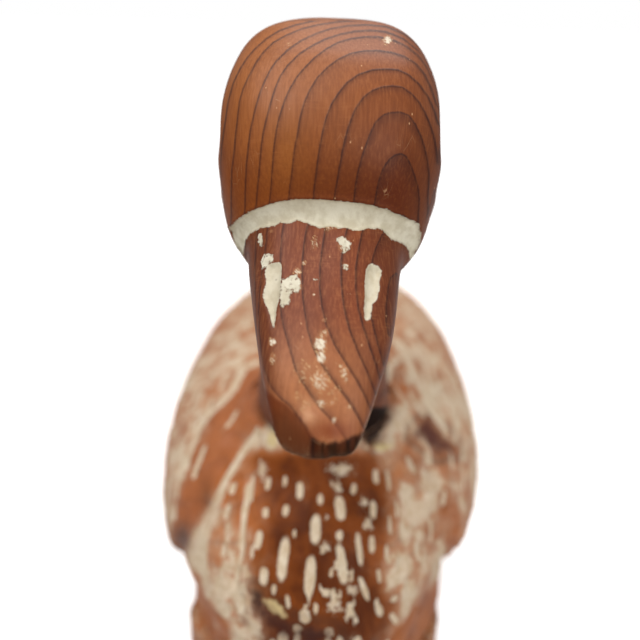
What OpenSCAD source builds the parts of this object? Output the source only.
// Floating duck decoy: a hollow two-piece wooden body on a ballasted keel,
// with a one-block head and bill that turns on a bolt through the neck seat.
// Millimetres. +Z is up, the bill points along -Y, the duck's left is +X, and
// the origin is the centre of the keel's underside.

/* [Head] */
// How far the head is tipped down, bill first (degrees)
head_tilt = 28; // [22:1:32]
// Height of the head's centre above the bottom board's underside
head_z = 211; // [205:1:218]
// Distance of the head's centre in front of the keel's middle
head_fwd = 100; // [97:1:103]
// Radius of the glass eyes
eye_r = 5; // [4:0.5:6]
// How far the eyes stand out of the drilled sockets
eye_proud = 1.8; // [1.2:0.1:3]

/* [Neck joint] */
// Distance of the swivel axis in front of the keel's middle
neck_fwd = 98; // [94:1:102]
// Radius of the neck where it stands on the body
neck_r = 22.5; // [20:0.5:24]
// Height of the neck seat above the bottom board's underside
seat_z = 122; // [120:0.5:124]
// Radius of the neck bolt
bolt_r = 3; // [2.5:0.1:3.5]
// Radial running clearance between the bolt and its brass bushing
bolt_gap = 0.05; // [0.02:0.01:0.1]
// Thickness of the leather friction washer under the neck
leather_t = 1.5; // [1:0.1:2]

/* [Body] */
// Thickness of the hollowed bottom board's side wall
wall = 13; // [11:0.5:14]
// Thickness of the bottom board's floor
floor_t = 12; // [9:0.5:16]
// Height of the seam between the two halves above the board's underside
seam_z = 36; // [35:0.5:37]
// Thickness of the bedding compound in the seam
seal_t = 0.6; // [0.3:0.1:1]
// Backward lean of the wings' leading edge, per unit of drop
wing_lean = 0.2; // [0.1:0.02:0.3]

/* [Keel] */
// Height of the keel
keel_h = 20; // [18:1:26]
// Width of the keel
keel_w = 40; // [34:1:44]
// Distance from the middle to the keel's front face
keel_front = 103; // [100:1:106]
// Distance from the middle to the keel's rear end
keel_rear = 88; // [84:1:92]
// Radius of the anchor line hole through the keel
line_r = 4; // [3:0.5:5]
// Length of the ballast bar
ballast_len = 112; // [90:2:116]
// Width of the ballast bar
ballast_w = 18; // [12:1:22]
// Depth of the ballast bar
ballast_h = 9; // [6:0.5:12]

/* [Line tie] */
// Radius of the screw eye, to the middle of its wire
tie_r = 5; // [4.5:0.1:5.5]
// Radius of the tie ring, to the middle of its wire
ring_r = 6; // [5.5:0.1:6]
// Wire radius of the tie ring
ring_wire = 1.2; // [0.9:0.1:1.3]

/* [Hidden] */

// All heights below are above the bottom board's underside unless noted.

// Eyes, in the head's own level frame
socket_x = 23;    // floor of each socket, from the middle plane
socket_depth = 12;
eye_y = 13;
eye_z = 9;
eye_rim = 4.2;    // straight part of the eye, below its dome

// Nostril slots, before they are tilted outward
nostril_ends = [-60, -46];  // y of the front and rear ends
nostril_x = 11.6;           // offset of the front end
nostril_flare = 0.06;       // outward drift per unit of length
nostril_tilt = 16;

// Neck bolt and the stack under the body's inner spot face, from the top down
neck_base_z = seat_z + leather_t + 0.05;
bolt_top_z = seat_z + 37.9; // where the bolt's point begins
spot_z = 107;
spot_r = 14;
neck_cut_z = 92;            // start of the cuts made upward on the neck axis
bushing_r = 5;
flange_r = 9;
flange_t = 1.5;
flat_washer_t = 1.2;
flat_washer_z = spot_z - flange_t - 0.1 - flat_washer_t;
spring_washer_t = 1.6;
spring_washer_z = flat_washer_z - spring_washer_t;
nut_hex_h = 4;
nut_collar_h = 1.6;
nut_z = spring_washer_z - nut_hex_h - nut_collar_h;
insert_r = 4.1;
insert_t = 1.4;
bolt_foot_z = nut_z - 3;
bolt_chamfer = 0.6;

// Body
wing_lean_z = 110;  // height at which the wings' lean is zero
hollow_foot_z = 28; // the hollow's form runs on below the seam to here
hollow_fullness = 2.2;
board_edge_r = 4.5; // easing of the board's lower edges
seal_inset = 2.2;

// Pegs that register the halves
peg_r = 3;
peg_z = 22;
peg_len = 25;
peg_at = [for (side = [-1, 1], y = [-34, 28]) [side * 50, y]];

// Screws: [shank radius, head radius, length, reach of each cross recess arm]
body_screw = [2, 3.8, 52, 2];
keel_screw = [2.2, 4.2, keel_h + 6, 2.2];
ballast_screw = [1.8, 3.6, 16, 1.9];
screw_access = 8;   // depth cleared below the body and keel screws' heads
body_screw_z = 3;
keel_screw_z = 3 - keel_h;
body_screw_at = [for (side = [-1, 1], p = [[46, -84], [46.2, 60]]) [side * p[0], p[1]]];
keel_screw_y = [-72, 66];

// Ballast, line hole and line tie
ballast_y = -4;
ballast_screw_y = [ballast_y - 40, ballast_y + 40];
line_y = -87;
line_z = -10.5;
tie_y = -(keel_front + 7);
tie_z = -6.5;
tie_wire = 1.5;
tie_root_y = -keel_front + 11; // inner end of the screw eye's shank

// Head and bill stations, in the head's own level frame:
// [y, half width, top, bottom, height of the widest line, top and bottom fullness]
HEAD = [
  [-90, 1.6, -13, -14.4, -13.6, 2, 2],
  [-89.3, 4, -12.5, -14.2, -13.4, 2, 2],
  [-87, 7.8, -10.6, -14.8, -13, 2.4, 2],
  [-82, 11.2, -7.8, -15, -12.5, 2.6, 2],
  [-75, 13.6, -4.8, -15.5, -11.5, 2.7, 2],
  [-66, 15.8, -2.2, -16.5, -11, 2.7, 2],
  [-54, 17.9, 1, -18, -11, 2.8, 2],
  [-42, 19.4, 4.2, -20, -10.5, 2.8, 2],
  [-36.5, 20.6, 6.5, -21, -10, 2.6, 2],
  [-33.5, 23.2, 12.8, -22, -8, 2.5, 2],
  [-29.5, 25.6, 18.6, -25, -6, 2.6, 2],
  [-23, 28, 24.2, -28, -4, 2.7, 2],
  [-14, 29.8, 28.8, -30, -2, 2.9, 2],
  [-3, 30.2, 31, -31, -1, 3.1, 2],
  [10, 29, 30.6, -30, 0, 3.1, 2],
  [21, 25, 26.6, -26, 0, 2.9, 2],
  [29.5, 18.5, 19.6, -19, 0, 2.6, 2],
  [33.8, 9, 11.5, -11, 0, 2.3, 2],
  [35, 2.5, 5, -4, 0, 2, 2]];

// Neck profile above its base: [inset from neck_r, height]
NECK = [[0, seat_z + 6], [0.9, 134], [1.6, 146], [1.4, 158], [0.6, 170], [1.6, 182], [5, 191]];
neck_top_z = 196;

// Upper body stations: [y, half width, top, widest line, lower edge, half width there, fullness]
BODY = [
  [-156, 0.5, 68, 64, 60, 0.4, 2],
  [-154.5, 11, 80, 65, 51, 8, 2],
  [-150, 21, 91, 66, 43, 17, 2],
  [-142, 31, 101, 67, 37, 27, 2.05],
  [-130, 40, 110, 67, 36, 35, 2.1],
  [-115, 48, 117, 67, 36, 44, 2.15],
  [-100, 54, 120, 67, 36, 49.5, 2.2],
  [-85, 58.5, 121, 67, 36, 52.5, 2.2],
  [-60, 63, 121.5, 67, 36, 55.5, 2.2],
  [-20, 66, 120, 67, 36, 57.5, 2.2],
  [20, 65.5, 116, 67, 36, 57, 2.2],
  [60, 60, 109, 67.5, 36, 53, 2.2],
  [95, 51, 101, 68.5, 36, 43.5, 2.15],
  [120, 42.5, 95.5, 71, 38, 31, 2.1],
  [141, 33.5, 92, 75, 52, 22, 2.1],
  [160, 27, 90.5, 79.5, 65, 17, 2.1],
  [173, 19, 90.5, 83.5, 76, 10, 2],
  [180, 9, 89.5, 85.5, 82, 4, 2],
  [182.5, 0.5, 87.5, 86, 85, 0.4, 2]];

// Folded wing stations, before the lean:
// [y, half width, top, widest line, lower edge, fullness]
WING = [
  [-106, 55, 103, 58, 50, 2.2],
  [-104.5, 59.5, 106, 57, 45, 2.2],
  [-101, 62.5, 109, 56, 42, 2.2],
  [-95, 65, 113, 57, 41, 2.2],
  [-80, 68, 118.5, 59, 41, 2.2],
  [-55, 70.3, 122.5, 61, 42, 2.2],
  [-25, 70.6, 122.5, 63, 44, 2.2],
  [10, 69, 119, 65, 47, 2.2],
  [45, 64.5, 113, 67, 52, 2.2],
  [75, 58.5, 107, 69, 58, 2.15],
  [100, 51, 101.8, 72, 64, 2.1],
  [122, 42, 97.3, 76, 70, 2.1],
  [138, 32, 94.6, 80, 75, 2.1],
  [148, 20, 93.3, 83, 79, 2],
  [153, 8, 92.3, 86, 84, 2]];

// Hollow of the upper body: [y, half width, ceiling, widest line, half width at the seam]
HOLLOW = [
  [-138, 0.5, 72, 62, 0.5],
  [-136, 12, 84, 62, 10],
  [-128, 24, 94, 63, 21],
  [-115, 33, 101, 64, 30],
  [-100, 39, 105.5, 64, 36],
  [-80, 44, 107, 65, 39.8],
  [-50, 49, 107.5, 65, 42.8],
  [-15, 52, 106, 65, 44.5],
  [20, 51.5, 102, 65, 44],
  [60, 46, 95, 66, 40],
  [92, 37, 87, 67, 31],
  [113, 26, 80, 68, 20],
  [125, 14, 74, 66, 10],
  [129, 0.5, 68, 62, 0.5]];

// Bottom board stations: [y, half width, underside]
BOARD = [
  [-143, 0.5, 16], [-141.5, 11, 9], [-137, 23, 4.5], [-129, 34.5, 1.8],
  [-117, 44.5, 0.3], [-104, 50.2, 0], [-80, 54.5, 0], [-50, 57, 0],
  [-10, 58.2, 0], [25, 57.6, 0], [60, 53.8, 0], [92, 46, 0],
  [112, 36, 1.2], [126, 24, 4.5], [134, 11.5, 9], [136, 0.5, 16]];

// ---- Monotone cubic curve through one column of a station table ----
// Straight slope between rows i and i + 1
function gradient(table, col, i) =
  (table[i + 1][col] - table[i][col]) / (table[i + 1][0] - table[i][0]);
// Slope of the curve at row i: a weighted harmonic mean, flat at a turning point
function slope(table, col, i) =
  i == 0 ? gradient(table, col, 0) :
  i == len(table) - 1 ? gradient(table, col, i - 1) :
  let (before = gradient(table, col, i - 1),
       after = gradient(table, col, i),
       gap_before = table[i][0] - table[i - 1][0],
       gap_after = table[i + 1][0] - table[i][0])
  before * after <= 0 ? 0 :
  3 * (gap_before + gap_after)
    / ((2 * gap_after + gap_before) / before + (gap_after + 2 * gap_before) / after);
// Row that starts the interval holding y
function interval(table, y, i = 0) =
  (i >= len(table) - 2 || y <= table[i + 1][0]) ? i : interval(table, y, i + 1);
// The column's value at y
function at(table, col, y) =
  let (i = interval(table, y),
       gap = table[i + 1][0] - table[i][0],
       u = (y - table[i][0]) / gap,
       rise0 = slope(table, col, i) * gap,
       rise1 = slope(table, col, i + 1) * gap)
  (2*u*u*u - 3*u*u + 1) * table[i][col] + (u*u*u - 2*u*u + u) * rise0
  + (3*u*u - 2*u*u*u) * table[i + 1][col] + (u*u*u - u*u) * rise1;
// The y of every table row, with each gap between rows split into equal parts
function stations(table, parts) = concat([table[0][0]],
  [for (i = [0 : len(table) - 2], j = [1 : parts])
    table[i][0] + (table[i + 1][0] - table[i][0]) * j / parts]);

// ---- Cross-sections, as [x, z] points ----
// Power that keeps the sign of its base
function signed_pow(base, power) = base >= 0 ? pow(base, power) : -pow(-base, power);
// Half superellipse from +x over the top to -x
function arch(half, base_z, rise, fullness, count) = [for (j = [0 : count])
  let (angle = 180 * j / count)
  [half * signed_pow(cos(angle), 2 / fullness),
   base_z + rise * pow(max(sin(angle), 0), 2 / fullness)]];
// Closes a section: the top, down the -x side, and back up the +x side.
// side lists the +x side from its top down.
function closed(top, side) = concat(top,
  [for (p = side) [-p[0], p[1]]],
  [for (j = [len(side) - 1 : -1 : 0]) side[j]]);

function head_section(y, count) =
  let (half = at(HEAD, 1, y),
       top = at(HEAD, 2, y),
       bottom = at(HEAD, 3, y),
       wide_z = at(HEAD, 4, y),
       top_fullness = at(HEAD, 5, y),
       bottom_fullness = at(HEAD, 6, y))
  [for (j = [0 : count - 1])
    let (angle = 360 * j / count,
         upper = sin(angle) >= 0,
         fullness = upper ? top_fullness : bottom_fullness,
         rise = upper ? top - wide_z : wide_z - bottom)
    [half * signed_pow(cos(angle), 2 / fullness),
     wide_z + rise * signed_pow(sin(angle), 2 / fullness)]];

function body_section(y, count) =
  let (half = at(BODY, 1, y),
       top = at(BODY, 2, y),
       wide_z = at(BODY, 3, y),
       edge_z = at(BODY, 4, y),
       edge_half = at(BODY, 5, y),
       fullness = at(BODY, 6, y),
       side = [for (j = [1 : 5]) let (u = j / 5)
         [edge_half + (half - edge_half) * pow(max(1 - u * u, 0), 0.75),
          wide_z + (edge_z - wide_z) * u]])
  closed(arch(half, wide_z, top - wide_z, fullness, count), side);

function wing_section(y, count) =
  let (half = at(WING, 1, y),
       top = at(WING, 2, y),
       wide_z = at(WING, 3, y),
       drop = wide_z - at(WING, 4, y),
       side = [
         [half - 0.04 * drop, wide_z - 0.5 * drop],
         [half - 0.18 * drop, wide_z - 0.82 * drop],
         [max(half - 0.5 * drop, 0.3), at(WING, 4, y)]])
  closed(arch(half, wide_z, top - wide_z, at(WING, 5, y), count), side);

function hollow_section(y, count) =
  let (wide_z = at(HOLLOW, 3, y),
       seam_half = at(HOLLOW, 4, y))
  closed(arch(at(HOLLOW, 1, y), wide_z, at(HOLLOW, 2, y) - wide_z, hollow_fullness, count),
    [[seam_half, seam_z], [seam_half, hollow_foot_z]]);

function board_section(y) =
  let (half = at(BOARD, 1, y),
       under = at(BOARD, 2, y),
       ease = min(board_edge_r, half * 0.4))
  closed([[half, seam_z], [-half, seam_z]],
    [[half, under + ease], [half - 0.3 * ease, under + 0.3 * ease], [half - ease, under]]);

// The board's plan outline, drawn in by inset, between two stations
function outline(inset, y0, y1, count) =
  let (ys = [for (i = [0 : count]) y0 + (y1 - y0) * (1 - cos(180 * i / count)) / 2],
       edge = [for (y = ys) [max(at(BOARD, 1, y) - inset, 0.5), y]])
  concat(edge, [for (i = [count : -1 : 0]) [-edge[i][0], edge[i][1]]]);

// Stands a section up at y; lean moves its points back as they drop below wing_lean_z
function ring(y, section, lean = 0) =
  [for (p = section) [p[0], y + (wing_lean_z - p[1]) * lean, p[1]]];

// A closed skin over rings of equal count; each ring is a list of [x, y, z]
module skin(rings) {
  last = len(rings) - 1;
  count = len(rings[0]);
  points = [for (r = rings, p = r) p];
  walls = [for (i = [0 : last - 1], j = [0 : count - 1], half = [0, 1])
    let (k = (j + 1) % count,
         a = i * count + j,
         b = i * count + k,
         c = (i + 1) * count + k,
         d = (i + 1) * count + j)
    half == 0 ? [a, b, c] : [a, c, d]];
  first_cap = [for (j = [count - 1 : -1 : 0]) j];
  last_cap = [for (j = [0 : count - 1]) last * count + j];
  polyhedron(points = points, faces = concat(walls, [first_cap], [last_cap]), convexity = 8);
}

// ---- Placing ----
// Lifts a piece by the keel's height
module up() { translate([0, 0, keel_h]) children(); }
module at_head() { translate([0, -head_fwd, head_z]) rotate([head_tilt, 0, 0]) children(); }
module at_neck(z = 0) { translate([0, -neck_fwd, z]) children(); }
module at_each(places, z) { for (p = places) translate([p[0], p[1], z]) children(); }
module at_keel_screws() { for (y = keel_screw_y) translate([0, y, keel_screw_z]) children(); }
module at_ballast_screws() { for (y = ballast_screw_y) translate([0, y, -keel_h]) children(); }

// ---- Hardware ----
// Wood screw along +z: countersunk head at the bottom, shank, pointed tip
module screw(size) {
  shank_r = size[0];
  head_r = size[1];
  length = size[2];
  cylinder(r1 = head_r, r2 = shank_r, h = head_r - shank_r, $fn = 32);
  translate([0, 0, head_r - shank_r]) cylinder(r = shank_r, h = length - head_r, $fn = 32);
  translate([0, 0, length - shank_r]) cylinder(r1 = shank_r, r2 = 0.3, h = shank_r, $fn = 32);
}
// The same space, with the driver access below the head
module screw_hole(size, access) {
  screw(size);
  translate([0, 0, -access]) cylinder(r = size[1], h = access, $fn = 32);
}
// Screw with a cross recess in the underside of its head
module cross_screw(size) {
  arm = size[3];
  difference() {
    screw(size);
    for (angle = [0, 90]) rotate([0, 0, angle])
      translate([-arm, -0.45, -0.1]) cube([2 * arm, 0.9, 1.1]);
  }
}
module washer(outer_r, inner_r, thickness) {
  difference() {
    cylinder(r = outer_r, h = thickness, $fn = 96);
    translate([0, 0, -1]) cylinder(r = inner_r, h = thickness + 2, $fn = 48);
  }
}
module wire_ring(radius, wire_r) {
  rotate_extrude($fn = 64) translate([radius, 0]) circle(r = wire_r, $fn = 32);
}

// ---- Head ----
module neck() {
  rotate_extrude($fn = 96) polygon(concat(
    [[0, neck_base_z], [neck_r, neck_base_z]],
    [for (p = NECK) [neck_r - p[0], p[1]]],
    [[0, neck_top_z]]));
}
// Slot along one side of the bill, side = -1 or 1
module nostril(side) {
  hull() for (y = nostril_ends)
    translate([side * (nostril_x + (y - nostril_ends[0]) * nostril_flare), y, 0])
      cylinder(r = 1.7, h = 12, $fn = 24);
}
// Head, bill and neck carved from one block
module head_block() {
  color("#9c623e") up() difference() {
    union() {
      at_head() skin([for (y = stations(HEAD, 3)) ring(y, head_section(y, 40))]);
      at_neck() neck();
    }
    // bolt hole with a coned end
    at_neck(seat_z) cylinder(r = bolt_r, h = 38, $fn = 48);
    at_neck(bolt_top_z) cylinder(r1 = bolt_r, r2 = 0.5, h = 3, $fn = 48);
    // eye sockets
    for (side = [-1, 1]) at_head()
      translate([side * socket_x, eye_y, eye_z]) rotate([0, side * 90, 0])
        cylinder(r = eye_r, h = socket_depth, $fn = 48);
    // nostrils cut into the bill's shoulders
    for (side = [-1, 1]) at_head()
      translate([0, 0, -4]) rotate([0, side * nostril_tilt, 0]) nostril(side);
  }
}

// Domed plug facing +X
module eye() {
  dome = [for (angle = [10 : 10 : 90])
    [eye_r * cos(angle), eye_rim + (0.8 + eye_proud) * sin(angle)]];
  rotate([0, 90, 0]) rotate_extrude($fn = 64)
    polygon(concat([[0, 0], [eye_r, 0], [eye_r, eye_rim]], dome));
}
module eye_left() {
  color("#2a1a10") up() at_head() translate([socket_x, eye_y, eye_z]) eye();
}
module eye_right() {
  color("#2a1a10") up() at_head()
    translate([-socket_x, eye_y, eye_z]) mirror([1, 0, 0]) eye();
}

// ---- Neck joint ----
// Double-ended neck bolt: coned wood end up in the neck, machine end down in the body
module neck_hanger_bolt() {
  shank_z = bolt_foot_z + bolt_chamfer;
  color("#b8b8b4") up() {
    at_neck(bolt_foot_z)
      cylinder(r1 = bolt_r - bolt_chamfer, r2 = bolt_r, h = bolt_chamfer, $fn = 48);
    at_neck(shank_z) cylinder(r = bolt_r, h = bolt_top_z - shank_z, $fn = 48);
    at_neck(bolt_top_z) cylinder(r1 = bolt_r, r2 = 0.6, h = 2.8, $fn = 48);
  }
}
// Leather washer the neck turns on, stuck to the body's seat
module neck_friction_washer() {
  color("#8a6b45") up() at_neck(seat_z) washer(neck_r - 0.7, 5.2, leather_t);
}
// Flanged brass bushing pressed up into the body's top
module neck_bushing() {
  color("#b5913f") up() at_neck() difference() {
    union() {
      translate([0, 0, spot_z]) cylinder(r = bushing_r, h = seat_z - spot_z, $fn = 64);
      translate([0, 0, spot_z - flange_t]) cylinder(r = flange_r, h = flange_t, $fn = 64);
    }
    translate([0, 0, spot_z - 3]) cylinder(r = bolt_r + bolt_gap, h = 24, $fn = 64);
  }
}
module neck_flat_washer() {
  color("#b8b8b4") up() at_neck(flat_washer_z) washer(8, bolt_r, flat_washer_t);
}
// Split spring washer, its gap cut on a slant
module neck_spring_washer() {
  color("#a0a09c") up() at_neck(spring_washer_z) difference() {
    washer(5.6, bolt_r, spring_washer_t);
    translate([3.9, 0, spring_washer_t / 2]) rotate([25, 0, 0])
      cube([6, 0.8, 6], center = true);
  }
}
// Hexagonal nut with a round collar on top and a recess below for the insert
module neck_lock_nut() {
  color("#c2c2be") up() at_neck(nut_z) difference() {
    union() {
      cylinder(r = 5.77, h = nut_hex_h, $fn = 6);
      translate([0, 0, nut_hex_h]) cylinder(r = 4.9, h = nut_collar_h, $fn = 64);
    }
    translate([0, 0, -1]) cylinder(r = bolt_r, h = 8, $fn = 48);
    translate([0, 0, -1]) cylinder(r = insert_r, h = insert_t + 1, $fn = 48);
  }
}
// Nylon locking ring held in the nut's lower end
module lock_nut_insert() {
  color("#3a6ea5") up() at_neck(nut_z) washer(insert_r, bolt_r, insert_t);
}

// ---- Body ----
// Breast, folded wings and tail, hollowed and cut flat at the top of the seam
module carved_shell() {
  difference() {
    union() {
      skin([for (y = stations(BODY, 2)) ring(y, body_section(y, 28))]);
      skin([for (y = stations(WING, 2)) ring(y, wing_section(y, 24), wing_lean)]);
    }
    skin([for (y = stations(HOLLOW, 2)) ring(y, hollow_section(y, 18))]);
    translate([-100, -200, -50]) cube([200, 330, 50 + seam_z + seal_t]);
  }
}
module body_upper() {
  boss_z = 99;
  color("#b98f66") up() difference() {
    union() {
      // the carved shell is one freeform surface, so it is resolved as one mesh
      resize([0, 0, 0]) carved_shell();
      at_neck(boss_z) cylinder(r = neck_r + 1.5, h = seat_z - boss_z, $fn = 96);
    }
    // the seat's spot face inside, the bushing's bore, pegs and screws
    at_neck(neck_cut_z) cylinder(r = spot_r, h = spot_z - neck_cut_z, $fn = 64);
    at_neck(neck_cut_z) cylinder(r = bushing_r, h = 40, $fn = 64);
    at_each(peg_at, peg_z - 2) cylinder(r = peg_r, h = peg_len + 2, $fn = 32);
    at_each(body_screw_at, body_screw_z) screw(body_screw);
  }
}

// Plan of the bottom board's hollow
module board_hollow() { polygon(outline(wall, -113, 98, 32)); }

// Bedding compound between the halves
module seam_seal() {
  color("#4a3322") up() difference() {
    translate([0, 0, seam_z]) linear_extrude(height = seal_t) difference() {
      polygon(outline(seal_inset, -133, 119, 40));
      board_hollow();
    }
    at_each(peg_at, seam_z - 1) cylinder(r = peg_r, h = 4, $fn = 32);
    at_each(body_screw_at, seam_z - 1) cylinder(r = body_screw[0], h = 4, $fn = 32);
  }
}
// Four hardwood pegs that register the halves
module seam_dowels() {
  color("#c9a36b") up() at_each(peg_at, peg_z) cylinder(r = peg_r, h = peg_len, $fn = 32);
}
// Bottom board, hollowed from above
module body_lower() {
  color("#96693f") up() difference() {
    skin([for (y = stations(BOARD, 3)) ring(y, board_section(y))]);
    translate([0, 0, floor_t]) linear_extrude(height = 40) board_hollow();
    at_each(peg_at, peg_z) cylinder(r = peg_r, h = peg_len + 2, $fn = 32);
    at_each(body_screw_at, body_screw_z) screw_hole(body_screw, screw_access);
    at_keel_screws() screw(keel_screw);
  }
}
// Screws that draw the halves together, driven from below
module body_screws() {
  color("#b5913f") up() at_each(body_screw_at, body_screw_z) cross_screw(body_screw);
}

// ---- Keel ----
// Bar with eased ends: its side view crossed with its plan
module keel_bar() {
  front = -keel_front;
  rear = keel_rear;
  half = keel_w / 2;
  side_view = [[front, 0], [front, -keel_h + 3], [front + 3, -keel_h],
    [rear - 16, -keel_h], [rear - 8, -keel_h + 3], [rear, -4], [rear, 0]];
  plan = [[-half + 7, front], [half - 7, front], [half, front + 12], [half, rear - 26],
    [half - 12, rear], [-half + 12, rear], [-half, rear - 26], [-half, front + 12]];
  intersection() {
    translate([-half, 0, 0]) rotate([90, 0, 90])
      linear_extrude(height = keel_w) polygon(side_view);
    translate([0, 0, -keel_h - 1]) linear_extrude(height = keel_h + 2) polygon(plan);
  }
}
// Ballast bar's space, carried below the keel's underside by extra
module ballast_bar(extra = 0) {
  translate([-ballast_w / 2, -ballast_len / 2 + ballast_y, -keel_h - extra])
    cube([ballast_w, ballast_len, ballast_h + extra]);
}
// Screw eye's shank or its hole, running forward from its inner end
module tie_shank(length) {
  translate([0, tie_root_y, tie_z]) rotate([90, 0, 0])
    cylinder(r = tie_wire, h = length, $fn = 32);
}
// Keel, holed for the anchor line and let in for ballast
module keel() {
  color("#7f5433") up() difference() {
    keel_bar();
    ballast_bar(extra = 1);
    translate([-40, line_y, line_z]) rotate([0, 90, 0]) cylinder(r = line_r, h = 80, $fn = 48);
    at_keel_screws() screw_hole(keel_screw, screw_access);
    at_ballast_screws() screw(ballast_screw);
    tie_shank(20);
  }
}
module keel_screws() { color("#b5913f") up() at_keel_screws() cross_screw(keel_screw); }

// Lead ballast bar set flush into the keel's underside
module keel_weight() {
  color("#6d7076") up() difference() {
    ballast_bar();
    at_ballast_screws() screw_hole(ballast_screw, 2);
  }
}
module ballast_screws() { color("#b5913f") up() at_ballast_screws() cross_screw(ballast_screw); }

// Screw eye in the keel's front face
module line_tie_eye() {
  color("#b5913f") up() {
    translate([0, tie_y, tie_z]) rotate([0, 90, 0]) wire_ring(tie_r, tie_wire);
    tie_shank(13);
  }
}
// Ring for the anchor line, hanging through the screw eye
module line_tie_ring() {
  color("#b5913f") up() translate([0, tie_y, tie_z - ring_r]) rotate([90, 0, 0])
    wire_ring(ring_r, ring_wire);
}

head_block();
eye_left();
eye_right();
neck_hanger_bolt();
neck_friction_washer();
neck_bushing();
neck_flat_washer();
neck_spring_washer();
neck_lock_nut();
lock_nut_insert();
body_upper();
seam_seal();
seam_dowels();
body_lower();
body_screws();
keel();
keel_screws();
keel_weight();
ballast_screws();
line_tie_eye();
line_tie_ring();
